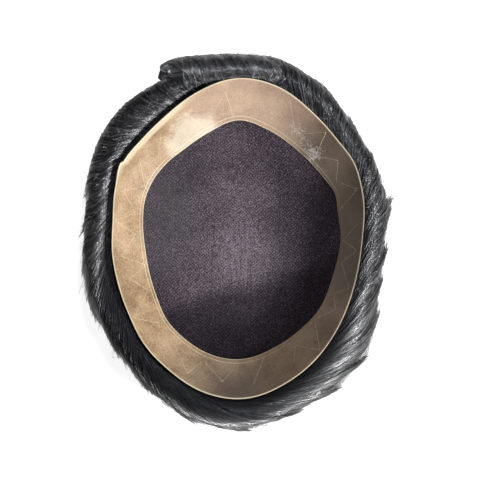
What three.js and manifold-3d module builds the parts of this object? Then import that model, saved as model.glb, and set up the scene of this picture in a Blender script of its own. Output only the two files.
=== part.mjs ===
// A toupee hairpiece as it lies by itself: on its hair, with the hollow for the head open upwards.
// Millimetres, +Z up. The origin lies on the surface under the middle of the net, and +Y points to the front.
// The base is a net centre inside a band of thin skin, and the hair grows from the outside of both:
// crown hair from the net, rim hair from the band, and one rolled curl at the front.

import * as THREE from "three";
import { mergeVertices } from "three/addons/utils/BufferGeometryUtils.js";
import Module from "manifold-3d";

// The base, measured across its rim as it lies
const baseWidth = 175;
const baseLength = 223;
const sideDepth = 44; // from the middle of the net up to the rim, at the sides
const endDepth = 50; // and at the front and back
const rimSlopeSine = 0.8; // sine of the wall's slope where it reaches the rim
const netFlatRadius = 12; // the middle of the net lies flat

// The layers of the base
const skinWall = 1;
const netWall = 1;
const layerGap = 0.45; // between two layers, and between a layer and the hair
const netLap = 7; // how far the net runs under the skin band

// The hair
const pressedHair = 17; // thickness of the hair under the middle of the net
const restRadius = 36; // the hair's round underside starts this far out
const pressedBy = 1.5; // and is pressed this much flatter by its own weight
const hairReach = 30; // how far the fullest hair stands out past the rim
const fullestHeight = 37; // height of the hair's widest line above the surface
const crestDrop = 8; // the roll of hair round the rim tops out this far under it
const gutterDrop = 8; // and meets the skin band this far down its wall
const lockRise = 5; // a lock stands this much out of the hair behind it
const lockRoot = 3.5; // and is rooted this deep in it
const lockWidth = 25;
const tipFlare = 6; // the tip of a lock stands this much further off
const hairPartGap = 0.6; // between the crown hair and the rim hair

// The rolled curl at the front
const curlRadius = 11.2;
const curlDrop = 12; // its middle lies about this far under the rim
const curlTipRound = 1; // its end runs on this far past its last section

const partReach = 20; // the part is carried on this far past the hair's surface
const roomOverRim = 30; // no hair stands over the base up to this far above its rim

// How finely the forms are faceted
const aroundSteps = 48;
const netSteps = 4;
const bandSteps = 3;
const lockSteps = 6;
const curlSides = 12;
const finestDetail = 0.06; // nothing finer than this is kept in the hair

// The outline of the base and of the hair, seen from above and counted from +X towards +Y.
// rim is a share of the ellipse that baseWidth and baseLength give, net the share of the rim's radius
// where the band's inner edge lies, hair the share of hairReach by which the hair passes the rim, and
// crest the share of the way from the rim to the hair's widest line where the roll of hair tops out.
const outline = [
  { azimuth: 0, rim: 0.992, net: 0.828, hair: 0.56, crest: 0.6 },
  { azimuth: 15, rim: 1.027, net: 0.796, hair: 0.56, crest: 0.6 },
  { azimuth: 25, rim: 1.039, net: 0.796, hair: 0.5, crest: 0.55 },
  { azimuth: 33, rim: 1.04, net: 0.765, hair: 0.45, crest: 0.5 },
  { azimuth: 45, rim: 1.003, net: 0.754, hair: 0.52, crest: 0.5 },
  { azimuth: 60, rim: 0.986, net: 0.738, hair: 0.65, crest: 0.5 },
  { azimuth: 75, rim: 0.999, net: 0.728, hair: 0.63, crest: 0.5 },
  { azimuth: 90, rim: 1.0, net: 0.746, hair: 0.58, crest: 0.45 },
  { azimuth: 105, rim: 0.97, net: 0.733, hair: 0.55, crest: 0.45 },
  { azimuth: 120, rim: 0.958, net: 0.741, hair: 0.68, crest: 0.45 },
  { azimuth: 133, rim: 0.982, net: 0.757, hair: 0.76, crest: 0.42 },
  { azimuth: 147, rim: 1.033, net: 0.753, hair: 0.62, crest: 0.4 },
  { azimuth: 158, rim: 1.028, net: 0.765, hair: 0.62, crest: 0.4 },
  { azimuth: 172, rim: 1.005, net: 0.765, hair: 0.63, crest: 0.42 },
  { azimuth: 187, rim: 1.007, net: 0.744, hair: 0.7, crest: 0.42 },
  { azimuth: 202, rim: 0.997, net: 0.747, hair: 0.79, crest: 0.42 },
  { azimuth: 215, rim: 0.991, net: 0.756, hair: 0.72, crest: 0.45 },
  { azimuth: 228, rim: 0.997, net: 0.769, hair: 0.66, crest: 0.45 },
  { azimuth: 243, rim: 0.989, net: 0.771, hair: 0.7, crest: 0.48 },
  { azimuth: 258, rim: 0.998, net: 0.764, hair: 0.76, crest: 0.5 },
  { azimuth: 273, rim: 1.0, net: 0.759, hair: 0.74, crest: 0.5 },
  { azimuth: 288, rim: 0.981, net: 0.76, hair: 0.74, crest: 0.55 },
  { azimuth: 303, rim: 0.976, net: 0.776, hair: 0.85, crest: 0.65 },
  { azimuth: 320, rim: 0.972, net: 0.81, hair: 0.9, crest: 0.72 },
  { azimuth: 340, rim: 0.973, net: 0.818, hair: 0.62, crest: 0.68 },
];

// The locks of the rim hair, which all sweep the same way round. tip is the azimuth of the lock's end,
// sweep how far round it has come from its root, and width and flare shares of lockWidth and tipFlare.
const rimLocks = [
  { tip: 17, sweep: 24, width: 1.0, flare: 1.0 },
  { tip: 34, sweep: 22, width: 0.9, flare: 0.4 },
  { tip: 49, sweep: 22, width: 1.0, flare: 0.7 },
  { tip: 64, sweep: 24, width: 1.0, flare: 0.5 },
  { tip: 81, sweep: 28, width: 1.0, flare: 0.3 },
  { tip: 99, sweep: 30, width: 1.0, flare: 0.2 },
  { tip: 118, sweep: 32, width: 1.1, flare: 0.2 },
  { tip: 135, sweep: 34, width: 1.1, flare: 0.3 },
  { tip: 150, sweep: 34, width: 1.1, flare: 0.3 },
  { tip: 165, sweep: 32, width: 1.1, flare: 0.8 },
  { tip: 179, sweep: 28, width: 0.9, flare: 0.8 },
  { tip: 194, sweep: 26, width: 1.0, flare: 0.5 },
  { tip: 210, sweep: 28, width: 1.1, flare: 0.5 },
  { tip: 226, sweep: 30, width: 1.1, flare: 0.4 },
  { tip: 242, sweep: 30, width: 1.1, flare: 0.7 },
  { tip: 258, sweep: 30, width: 1.1, flare: 0.5 },
  { tip: 275, sweep: 28, width: 1.1, flare: 0.8 },
  { tip: 291, sweep: 26, width: 1.0, flare: 0.6 },
  { tip: 306, sweep: 24, width: 1.0, flare: 1.0 },
  { tip: 319, sweep: 22, width: 1.0, flare: 1.1 },
  { tip: 333, sweep: 22, width: 0.9, flare: 0.5 },
  { tip: 346, sweep: 22, width: 0.9, flare: 0.6 },
  { tip: 358, sweep: 22, width: 0.9, flare: 0.9 },
];
const crownLockCount = 14;
const crownLockSweep = 46;

// A lock's cross-section: across it in shares of its half width, and up it in shares of its rise,
// or of lockRoot where it goes below the hair behind it.
const lockSection = [
  { across: -1, up: -1 },
  { across: -0.7, up: 0.7 },
  { across: 0, up: 1 },
  { across: 0.7, up: 0.6 },
  { across: 1, up: -1 },
];
const lockStartShare = 0.3; // of its width and rise, at a lock's root
const lockTipShare = 0.04; // and at its very tip
const lockFullAt = 0.4; // it has grown to its full size this far along
const rimLockBluntness = 2; // the higher, the fuller a lock stays towards its tip
const crownLockBluntness = 3;

// The curl section by section, from its root in the rim hair to its rounded end. out is the share of
// hairReach by which its middle lies past the rim, and drop and radius shares of curlDrop and curlRadius.
const curlSections = [
  { azimuth: 66, out: 0.27, drop: 1.4, radius: 0.36 },
  { azimuth: 76, out: 0.28, drop: 1.17, radius: 0.71 },
  { azimuth: 86, out: 0.23, drop: 1.04, radius: 0.94 },
  { azimuth: 94, out: 0.28, drop: 1.0, radius: 1.0 },
  { azimuth: 101, out: 0.4, drop: 1.0, radius: 0.98 },
  { azimuth: 107, out: 0.57, drop: 0.96, radius: 0.89 },
  { azimuth: 111, out: 0.68, drop: 0.96, radius: 0.79 },
  { azimuth: 114, out: 0.77, drop: 0.96, radius: 0.64 },
  { azimuth: 115.8, out: 0.82, drop: 0.96, radius: 0.45 },
  { azimuth: 116.6, out: 0.84, drop: 0.96, radius: 0.21 },
];

// Where things lie along the hair's section, from 0 at the edge of the flat rest to 1 in the gutter
// beside the skin band
const fullestAt = 0.5;
const crestAt = 0.8;
const partAt = 0.46; // the crown hair ends and the rim hair begins
const lockRootAt = 0.92;
const lockTipAt = 0.53;
const crownRootAt = 0.06;
const crownTipAt = 0.4;
const pressedRows = [0, 0.12, 0.2, 0.28, 0.36, 0.43]; // where the hair's form is faceted, up to fullestAt
const rolledRows = [fullestAt, 0.58, 0.66, 0.73, crestAt, 0.9, 1]; // and from there on

const degrees = Math.PI / 180;
const skinOffset = skinWall + layerGap; // from the band's face down to the layer behind it
const netOffset = skinOffset + netWall + layerGap;
const netMiddleHeight = pressedHair + layerGap + netWall;
const faceHeight = netMiddleHeight + skinOffset; // the band's face, carried on to the middle

const wasm = await Module();
wasm.setup();

const columns = ["rim", "net", "hair", "crest"];
const wrapped = [
  ...outline.slice(-2).map((row) => ({ ...row, azimuth: row.azimuth - 360 })),
  ...outline,
  ...outline.slice(0, 2).map((row) => ({ ...row, azimuth: row.azimuth + 360 })),
];
const outlineCurve = new THREE.CubicInterpolant(
  wrapped.map((row) => row.azimuth),
  wrapped.flatMap((row) => columns.map((column) => row[column])),
  columns.length,
);

// The outline's sizes at an azimuth in degrees, in millimetres.
function sizesAt(azimuth) {
  const turned = THREE.MathUtils.euclideanModulo(azimuth, 360);
  const [rimShare, netShare, hairShare, crestShare] = outlineCurve.evaluate(turned);
  const along = Math.cos(azimuth * degrees) * baseLength;
  const across = Math.sin(azimuth * degrees) * baseWidth;
  const ellipse = (baseWidth * baseLength) / 2 / Math.hypot(along, across);
  const rim = ellipse * rimShare;
  const depth = sideDepth + (endDepth - sideDepth) * Math.sin(azimuth * degrees) ** 2;
  return {
    rim,
    netEdge: rim * netShare,
    reach: rim + hairReach * hairShare,
    crestShare,
    depth,
    rimHeight: faceHeight + depth,
  };
}

// A point of the base in its section: r out from the middle, and off the band's face by offset,
// towards the hair.
function baseSection(sizes, r, offset) {
  const run = sizes.rim - netFlatRadius;
  const share = Math.max(0, r - netFlatRadius) / run;
  const sine = rimSlopeSine * share;
  const rimCosine = Math.sqrt(1 - rimSlopeSine ** 2);
  const cosine = Math.sqrt(1 - sine ** 2);
  const height = (sizes.depth * (1 - cosine)) / (1 - rimCosine);
  const rise = (sizes.depth * rimSlopeSine * sine) / cosine / (1 - rimCosine) / run;
  const slope = Math.atan(rise);
  return {
    r: r + offset * Math.sin(slope),
    z: faceHeight + height - offset * Math.cos(slope),
  };
}

// A point of the hair's outer form in its section, before the locks are added.
function hairSection(sizes, at) {
  const fullest = sizes.reach - lockRise / 2;
  const crest = {
    r: sizes.rim + (fullest - sizes.rim) * sizes.crestShare,
    z: sizes.rimHeight - crestDrop - lockRise / 2,
  };
  const gutter = baseSection(sizes, sizes.rim - gutterDrop, skinOffset);
  if (at <= fullestAt) {
    const turn = (at / fullestAt) * 90 * degrees;
    return {
      r: restRadius + (fullest - restRadius) * Math.sin(turn),
      z: fullestHeight - (fullestHeight + pressedBy) * Math.cos(turn),
    };
  }
  if (at <= crestAt) {
    const turn = ((at - fullestAt) / (crestAt - fullestAt)) * 90 * degrees;
    return {
      r: crest.r + (fullest - crest.r) * Math.cos(turn),
      z: fullestHeight + (crest.z - fullestHeight) * Math.sin(turn),
    };
  }
  const turn = ((at - crestAt) / (1 - crestAt)) * 90 * degrees;
  return {
    r: crest.r - (crest.r - gutter.r) * Math.sin(turn),
    z: gutter.z + (crest.z - gutter.z) * Math.cos(turn),
  };
}

function inSpace(azimuth, { r, z }) {
  return new THREE.Vector3(r * Math.cos(azimuth * degrees), r * Math.sin(azimuth * degrees), z);
}

// One row of points round the piece, where section gives the point at each azimuth's sizes.
function row(section) {
  return Array.from({ length: aroundSteps }, (_, i) => {
    const azimuth = (360 * i) / aroundSteps;
    return inSpace(azimuth, section(sizesAt(azimuth)));
  });
}

// Points as a closed surface: each row joins the next, and the ends either meet, as on a ring,
// or are closed by a point each, in ends.
function surfaceOver(rows, ends) {
  const count = rows[0].length;
  const points = rows.flat();
  const faces = [];
  const spans = ends ? rows.length - 1 : rows.length;
  for (let i = 0; i < spans; i++) {
    for (let j = 0; j < count; j++) {
      const a = i * count + j;
      const b = i * count + ((j + 1) % count);
      const c = ((i + 1) % rows.length) * count + j;
      const d = ((i + 1) % rows.length) * count + ((j + 1) % count);
      faces.push(a, b, d, a, d, c);
    }
  }
  if (ends) {
    const last = (rows.length - 1) * count;
    const first = points.push(ends[0]) - 1;
    const final = points.push(ends[1]) - 1;
    for (let j = 0; j < count; j++) {
      faces.push(first, (j + 1) % count, j);
      faces.push(final, last + j, last + ((j + 1) % count));
    }
  }
  const geometry = new THREE.BufferGeometry().setFromPoints(points);
  geometry.setIndex(faces);
  if (volumeOf(geometry) < 0) geometry.setIndex(faces.reverse());
  return geometry;
}

function volumeOf(geometry) {
  const corner = [0, 1, 2].map(() => new THREE.Vector3());
  let sixfold = 0;
  for (let i = 0; i < geometry.index.count; i += 3) {
    corner.forEach((point, k) =>
      point.fromBufferAttribute(geometry.attributes.position, geometry.index.getX(i + k)),
    );
    sixfold += corner[0].dot(corner[1].clone().cross(corner[2]));
  }
  return sixfold / 6;
}

function solidOf(geometry) {
  const bare = geometry.clone();
  bare.deleteAttribute("normal");
  bare.deleteAttribute("uv");
  const merged = mergeVertices(bare);
  return new wasm.Manifold(
    new wasm.Mesh({
      numProp: 3,
      vertProperties: merged.attributes.position.array,
      triVerts: new Uint32Array(merged.index.array),
    }),
  );
}

function geometryOf(solid) {
  const mesh = solid.getMesh();
  const geometry = new THREE.BufferGeometry();
  geometry.setAttribute("position", new THREE.BufferAttribute(mesh.vertProperties, mesh.numProp));
  geometry.setIndex(new THREE.BufferAttribute(mesh.triVerts, 1));
  return geometry;
}

// The solid without the pockets that its locks shut in between them, and without its slivers.
function withoutPockets(solid) {
  const shells = solid.simplify(finestDetail).decompose();
  return shells.reduce((largest, each) => (each.volume() > largest.volume() ? each : largest));
}

function steps(count, from, to) {
  return Array.from({ length: count + 1 }, (_, i) => from + ((to - from) * i) / count);
}

// Rows of points from the flat middle of the net to the band's inner edge, and one more past it by lap.
function netRows(offset, lap) {
  const seen = steps(netSteps, 0, 1).map((share) =>
    row((sizes) => {
      const r = netFlatRadius + (sizes.netEdge - netFlatRadius) * share;
      return baseSection(sizes, r, offset);
    }),
  );
  return [...seen, row((sizes) => baseSection(sizes, sizes.netEdge + lap, offset))];
}

// The net: a thin bowl that runs on under the skin band.
function netCap() {
  const top = netRows(skinOffset, netLap);
  const under = netRows(skinOffset + netWall, netLap).reverse();
  const middle = (height) => new THREE.Vector3(0, 0, height);
  return surfaceOver(
    [...top, ...under],
    [middle(faceHeight - skinOffset), middle(faceHeight - skinOffset - netWall)],
  );
}

// The skin band: a thin wall from the net's visible edge to the rim.
function skinBand() {
  const sheet = (offset) =>
    steps(bandSteps, 0, 1).map((share) =>
      row((sizes) => {
        const r = sizes.netEdge + (sizes.rim - sizes.netEdge) * share;
        return baseSection(sizes, r, offset);
      }),
    );
  return surfaceOver([...sheet(0), ...sheet(skinWall).reverse()]);
}

// The room that the hair leaves free: the base with its gap, and the hollow above it.
function baseRoom() {
  const bandRows = steps(bandSteps, 0, 1).map((share) =>
    row((sizes) => {
      const edge = sizes.netEdge + netLap + layerGap;
      return baseSection(sizes, edge + (sizes.rim - edge) * share, skinOffset);
    }),
  );
  const top = row((sizes) => ({ r: sizes.rim + skinOffset, z: sizes.rimHeight + roomOverRim }));
  return surfaceOver(
    [...netRows(netOffset, netLap + layerGap), ...bandRows, top],
    [
      new THREE.Vector3(0, 0, faceHeight - netOffset),
      new THREE.Vector3(0, 0, faceHeight + endDepth + roomOverRim),
    ],
  );
}

// All the hair without its locks, before the base's room is taken out of it.
function hairBacking() {
  const outside = [...pressedRows, ...rolledRows].map((at) =>
    row((sizes) => hairSection(sizes, at)),
  );
  const inside = row((sizes) => baseSection(sizes, sizes.rim - gutterDrop, 0));
  return surfaceOver(
    [...outside, inside],
    [new THREE.Vector3(0, 0, -pressedBy), new THREE.Vector3(0, 0, faceHeight)],
  );
}

// The side of the part that the crown hair is on, taken along the part by gap towards the rim hair.
function crownSide(gap) {
  const partLine = (sizes, beyond) => {
    const inner = baseSection(sizes, sizes.netEdge + netLap + layerGap, netOffset);
    const outer = hairSection(sizes, partAt);
    const length = Math.hypot(outer.r - inner.r, outer.z - inner.z);
    const run = { r: (outer.r - inner.r) / length, z: (outer.z - inner.z) / length };
    const end = beyond < 0 ? inner : outer;
    return { r: end.r + beyond * run.r - gap * run.z, z: end.z + beyond * run.z + gap * run.r };
  };
  return surfaceOver(
    [
      row((sizes) => ({ r: partLine(sizes, partReach).r, z: -partReach })),
      row((sizes) => partLine(sizes, partReach)),
      row((sizes) => partLine(sizes, -layerGap - netWall)),
    ],
    [new THREE.Vector3(0, 0, -partReach), new THREE.Vector3(0, 0, faceHeight + endDepth / 2)],
  );
}

function hairSurface(azimuth, at) {
  return inSpace(azimuth, hairSection(sizesAt(azimuth), at));
}

// The direction straight out of the hair's surface.
function hairNormal(azimuth, at) {
  const round = hairSurface(azimuth + 0.5, at).sub(hairSurface(azimuth - 0.5, at));
  const up = hairSurface(azimuth, at + 0.01).sub(hairSurface(azimuth, at - 0.01));
  return round.cross(up).normalize();
}

// How full a lock is, from 0 to 1, at a share of its length.
function lockFullness(share, bluntness) {
  const swelling = lockStartShare + ((1 - lockStartShare) * share) / lockFullAt;
  return Math.max(lockTipShare, 1 - share ** bluntness) * Math.min(1, swelling);
}

// One lock along the hair's surface.
function lock({ rootAt, tipAt, tip, sweep, width, flare, bluntness }) {
  const along = (share) => [tip - sweep * (1 - share), rootAt + (tipAt - rootAt) * share];
  const centre = (share) =>
    hairSurface(...along(share)).addScaledVector(hairNormal(...along(share)), flare * share ** 2);
  const rows = steps(lockSteps, 0, 1).map((share) => {
    const fullness = lockFullness(share, bluntness);
    const forward = centre(share + 0.01).sub(centre(share - 0.01)).normalize();
    const side = forward.clone().cross(hairNormal(...along(share))).normalize();
    const up = side.clone().cross(forward);
    return lockSection.map((corner) =>
      centre(share)
        .addScaledVector(side, (corner.across * fullness * width) / 2)
        .addScaledVector(up, corner.up * fullness * (corner.up < 0 ? lockRoot : lockRise)),
    );
  });
  return surfaceOver(rows, [centre(0), centre(1 + lockTipShare / 2)]);
}

// The rolled curl, grown on all sides by clearance.
function frontCurl(clearance) {
  const middles = curlSections.map(({ azimuth, out, drop }) => {
    const { rim, rimHeight } = sizesAt(azimuth);
    return inSpace(azimuth, { r: rim + hairReach * out, z: rimHeight - curlDrop * drop });
  });
  const last = middles.length - 1;
  const along = middles.map((_, i) =>
    middles[Math.min(i + 1, last)].clone().sub(middles[Math.max(i - 1, 0)]).normalize(),
  );
  const rows = curlSections.map(({ radius }, i) => {
    const side = along[i].clone().cross(new THREE.Vector3(0, 0, 1)).normalize();
    const up = side.clone().cross(along[i]);
    const grown = curlRadius * radius + clearance;
    return Array.from({ length: curlSides }, (_, k) => {
      const turn = (2 * Math.PI * k) / curlSides;
      return middles[i]
        .clone()
        .addScaledVector(side, grown * Math.cos(turn))
        .addScaledVector(up, grown * Math.sin(turn));
    });
  });
  const beyond = curlTipRound + clearance;
  return surfaceOver(rows, [
    middles[0].clone().addScaledVector(along[0], -beyond),
    middles[last].clone().addScaledVector(along[last], beyond),
  ]);
}

function rimLock({ tip, sweep, width, flare }) {
  return lock({
    rootAt: lockRootAt,
    tipAt: lockTipAt,
    tip,
    sweep,
    width: lockWidth * width,
    flare: tipFlare * flare,
    bluntness: rimLockBluntness,
  });
}

function crownLock(number) {
  return lock({
    rootAt: crownRootAt,
    tipAt: crownTipAt,
    tip: (360 * (number + 0.5)) / crownLockCount,
    sweep: crownLockSweep,
    width: lockWidth,
    flare: 0,
    bluntness: crownLockBluntness,
  });
}

// All the hair but the curl, with the surface it lies on and the base's room taken out of it.
function allHair() {
  const crownLocks = Array.from({ length: crownLockCount }, (_, number) => crownLock(number));
  const locks = [...rimLocks.map(rimLock), ...crownLocks];
  const fused = locks.reduce((hair, each) => hair.add(solidOf(each)), solidOf(hairBacking()));
  const underground = new THREE.BoxGeometry(2 * baseWidth, 2 * baseLength, partReach);
  underground.translate(0, 0, -partReach / 2);
  return fused
    .subtract(solidOf(baseRoom()))
    .subtract(solidOf(underground))
    .subtract(solidOf(frontCurl(layerGap)));
}

function piece(name, geometry, color, roughness) {
  geometry.computeVertexNormals();
  const mesh = new THREE.Mesh(
    geometry,
    new THREE.MeshStandardMaterial({ color, roughness, metalness: 0 }),
  );
  mesh.name = name;
  return mesh;
}

const hair = allHair();
const crownHair = withoutPockets(hair.intersect(solidOf(crownSide(0))));
const rimHair = withoutPockets(hair.subtract(solidOf(crownSide(hairPartGap))));
const curl = solidOf(frontCurl(0)).subtract(solidOf(baseRoom()));

const hairpiece = new THREE.Group();
hairpiece.add(
  piece("net_cap", netCap(), 0x3b3238, 0.85),
  piece("skin_band", skinBand(), 0xcdb08a, 0.45),
  piece("crown_hair", geometryOf(crownHair), 0x121214, 0.4),
  piece("rim_hair", geometryOf(rimHair), 0x121214, 0.4),
  piece("front_curl", geometryOf(curl), 0x121214, 0.4),
);

export default hairpiece;
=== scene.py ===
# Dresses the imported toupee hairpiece: a fine net and skin band, and hair in strands over its bed.
# Sizes are in millimetres until a mesh is made, and azimuths in degrees from +X towards +Y.

import math

import bmesh
import bpy
import numpy as np
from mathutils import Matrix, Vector


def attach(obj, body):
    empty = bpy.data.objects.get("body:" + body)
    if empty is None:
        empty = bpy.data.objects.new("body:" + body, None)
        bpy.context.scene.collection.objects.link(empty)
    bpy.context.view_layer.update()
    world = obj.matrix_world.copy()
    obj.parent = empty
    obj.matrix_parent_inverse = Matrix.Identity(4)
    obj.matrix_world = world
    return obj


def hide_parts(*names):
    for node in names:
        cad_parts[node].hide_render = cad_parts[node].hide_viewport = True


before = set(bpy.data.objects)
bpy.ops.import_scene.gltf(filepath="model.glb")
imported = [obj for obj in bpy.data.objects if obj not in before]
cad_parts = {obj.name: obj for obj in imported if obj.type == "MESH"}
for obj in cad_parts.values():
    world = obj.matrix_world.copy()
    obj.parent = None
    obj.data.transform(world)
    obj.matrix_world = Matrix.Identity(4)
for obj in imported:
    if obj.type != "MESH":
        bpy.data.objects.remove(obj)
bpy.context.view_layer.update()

MM = 0.001
rng = np.random.default_rng(24)
few = 1

# The base, as it is packed
BASE_WIDTH = 175
BASE_LENGTH = 223
SIDE_DEPTH = 44
END_DEPTH = 50
RIM_SLOPE_SINE = 0.8
NET_FLAT_RADIUS = 12
SKIN_WALL = 1
NET_WALL = 1
LAYER_GAP = 0.45
NET_LAP = 7

# The hair's form, as it is packed
PRESSED_HAIR = 17
REST_RADIUS = 36
PRESSED_BY = 1.5
HAIR_REACH = 30
FULLEST_HEIGHT = 37
CREST_DROP = 8
GUTTER_DROP = 8
LOCK_RISE = 5
TIP_FLARE = 6
FULLEST_AT = 0.5
CREST_AT = 0.8
PART_AT = 0.46
PART_GAP = 0.6
CURL_RADIUS = 11.2
CURL_DROP = 12

SKIN_OFFSET = SKIN_WALL + LAYER_GAP
NET_OFFSET = SKIN_OFFSET + NET_WALL + LAYER_GAP
FACE_HEIGHT = PRESSED_HAIR + LAYER_GAP + NET_WALL + SKIN_OFFSET

# Round the outline: shares for the rim, the net's edge, the hair's reach and its crest. Then, for strands
# that end at this azimuth, how many degrees they sweep through, how late they turn, and how strongly they
# part into locks; in mm, how far the hair sinks beside the rim and how far it rises at its crest; and how
# far along them their shine is held down and their colour darkened, as painted shade beside the rim.
OUTLINE = [
    # azimuth, rim, net, hair, crest, sweep, late, parted, sunk, raised, dull
    (0, 0.992, 0.828, 0.56, 0.60, 44, 1.0, 1.0, 3.0, 0.5, 0.20),
    (15, 1.027, 0.796, 0.56, 0.60, 30, 1.0, 0.9, 2.5, 0.5, 0.20),
    (25, 1.039, 0.796, 0.50, 0.60, 20, 1.0, 0.8, 2.0, 0.5, 0.20),
    (33, 1.040, 0.765, 0.45, 0.60, 16, 1.0, 0.7, 2.0, 0.5, 0.20),
    (45, 1.003, 0.754, 0.52, 0.60, 15, 1.1, 0.6, 2.0, 1.0, 0.20),
    (60, 0.986, 0.738, 0.65, 0.58, 15, 1.1, 0.5, 2.0, 2.0, 0.20),
    (75, 0.999, 0.728, 0.63, 0.54, 10, 1.2, 0.3, 1.0, 1.0, 0.15),
    (90, 1.000, 0.746, 0.58, 0.45, 5, 1.8, 0.2, 1.0, 1.0, 0.10),
    (105, 0.970, 0.733, 0.55, 0.58, 4, 2.5, 0.2, 1.0, 5.0, 0.15),
    (120, 0.958, 0.741, 0.68, 0.72, 7, 3.0, 0.1, 1.0, 7.5, 0.16),
    (133, 0.982, 0.757, 0.76, 0.76, 10, 3.0, 0.1, 1.0, 8.0, 0.16),
    (147, 1.033, 0.753, 0.62, 0.76, 14, 2.4, 0.2, 1.0, 7.5, 0.17),
    (158, 1.028, 0.765, 0.62, 0.72, 16, 1.8, 0.4, 1.0, 6.5, 0.18),
    (172, 1.005, 0.765, 0.63, 0.70, 19, 1.5, 0.6, 1.0, 5.0, 0.19),
    (187, 1.007, 0.744, 0.70, 0.68, 22, 1.3, 0.6, 1.0, 4.0, 0.21),
    (202, 0.997, 0.747, 0.79, 0.62, 26, 1.2, 0.5, 1.5, 3.0, 0.27),
    (215, 0.991, 0.756, 0.72, 0.52, 30, 1.1, 0.5, 1.5, 2.5, 0.36),
    (228, 0.997, 0.769, 0.66, 0.50, 33, 1.0, 0.6, 1.5, 2.0, 0.48),
    (243, 0.989, 0.771, 0.70, 0.48, 34, 1.0, 0.7, 1.5, 1.5, 0.44),
    (258, 0.998, 0.764, 0.76, 0.46, 36, 1.0, 0.8, 2.0, 1.0, 0.41),
    (273, 1.000, 0.759, 0.74, 0.44, 41, 1.0, 0.8, 2.5, 0.5, 0.37),
    (288, 0.981, 0.760, 0.74, 0.42, 45, 1.0, 0.8, 3.0, 0.5, 0.34),
    (303, 0.976, 0.776, 0.85, 0.40, 48, 1.0, 0.9, 3.5, 0.0, 0.31),
    (320, 0.972, 0.810, 0.90, 0.40, 49, 1.0, 1.0, 3.5, 0.0, 0.30),
    (340, 0.973, 0.818, 0.62, 0.52, 48, 1.0, 1.0, 3.0, 0.0, 0.24),
]
RIM, NET, HAIR, CREST, SWEEP, LATE, PARTED, SUNK, RAISED, DULL = range(1, 11)

# The locks of the rim hair: where each ends, and the share of TIP_FLARE that its tip stands off.
RIM_LOCKS = [
    # tip, flare
    (17, 1.7),
    (34, 0.4),
    (49, 0.7),
    (64, 0.5),
    (81, 0.3),
    (99, 0.2),
    (118, 0.2),
    (135, 0.3),
    (150, 0.3),
    (165, 1.2),
    (179, 1.2),
    (194, 0.5),
    (210, 0.5),
    (226, 0.4),
    (242, 0.7),
    (258, 0.5),
    (275, 0.8),
    (291, 0.6),
    (306, 1.0),
    (319, 1.1),
    (333, 0.5),
    (346, 0.6),
    (358, 0.9),
]

# The curl, section by section: shares for how far out, how far down and how wide.
CURL_SECTIONS = [
    # azimuth, out, drop, radius
    (66, 0.27, 1.40, 0.36),
    (76, 0.28, 1.17, 0.71),
    (86, 0.20, 1.04, 0.94),
    (94, 0.24, 1.00, 1.00),
    (101, 0.37, 1.00, 0.98),
    (107, 0.57, 0.96, 0.89),
    (111, 0.68, 0.96, 0.79),
    (114, 0.77, 0.96, 0.64),
    (115.8, 0.82, 0.96, 0.45),
    (116.6, 0.84, 0.96, 0.21),
]


# ---- The form of the base and of the hair ----

def outline(azimuth, column):
    """A column of OUTLINE at any azimuths, on a smooth closed curve through its rows."""
    knots = np.array([row[0] for row in OUTLINE], float)
    values = np.array([row[column] for row in OUTLINE], float)
    knots = np.concatenate([knots[-2:] - 360, knots, knots[:2] + 360])
    values = np.concatenate([values[-2:], values, values[:2]])
    a = np.mod(azimuth, 360)
    i = np.searchsorted(knots, a, side="right") - 1
    before, start, end, after = (knots[i + k] for k in (-1, 0, 1, 2))
    p = (a - start) / (end - start)
    w = (end - start) / 2 / (start - before)
    v = (end - start) / 2 / (after - end)
    return (
        values[i - 1] * (-w * p**3 + 2 * w * p**2 - w * p)
        + values[i] * ((1 + w) * p**3 - (1.5 + 2 * w) * p**2 + (w - 0.5) * p + 1)
        + values[i + 1] * (-(1 + v) * p**3 + (1.5 + v) * p**2 + 0.5 * p)
        + values[i + 2] * (v * p**3 - v * p**2)
    )


def rim_radius(azimuth):
    angle = np.radians(azimuth)
    across = np.hypot(np.cos(angle) * BASE_LENGTH, np.sin(angle) * BASE_WIDTH)
    return BASE_WIDTH * BASE_LENGTH / 2 / across * outline(azimuth, RIM)


def net_edge(azimuth):
    return rim_radius(azimuth) * outline(azimuth, NET)


def rim_depth(azimuth):
    return SIDE_DEPTH + (END_DEPTH - SIDE_DEPTH) * np.sin(np.radians(azimuth)) ** 2


def base_section(azimuth, r, offset):
    """A point of the base in its section, off the skin's face by offset towards the hair."""
    run = rim_radius(azimuth) - NET_FLAT_RADIUS
    sine = RIM_SLOPE_SINE * np.maximum(0, r - NET_FLAT_RADIUS) / run
    cosine = np.sqrt(1 - sine**2)
    rim_cosine = math.sqrt(1 - RIM_SLOPE_SINE**2)
    depth = rim_depth(azimuth)
    height = depth * (1 - cosine) / (1 - rim_cosine)
    slope = np.arctan(depth * RIM_SLOPE_SINE * sine / cosine / (1 - rim_cosine) / run)
    return r + offset * np.sin(slope), FACE_HEIGHT + height - offset * np.cos(slope)


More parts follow.
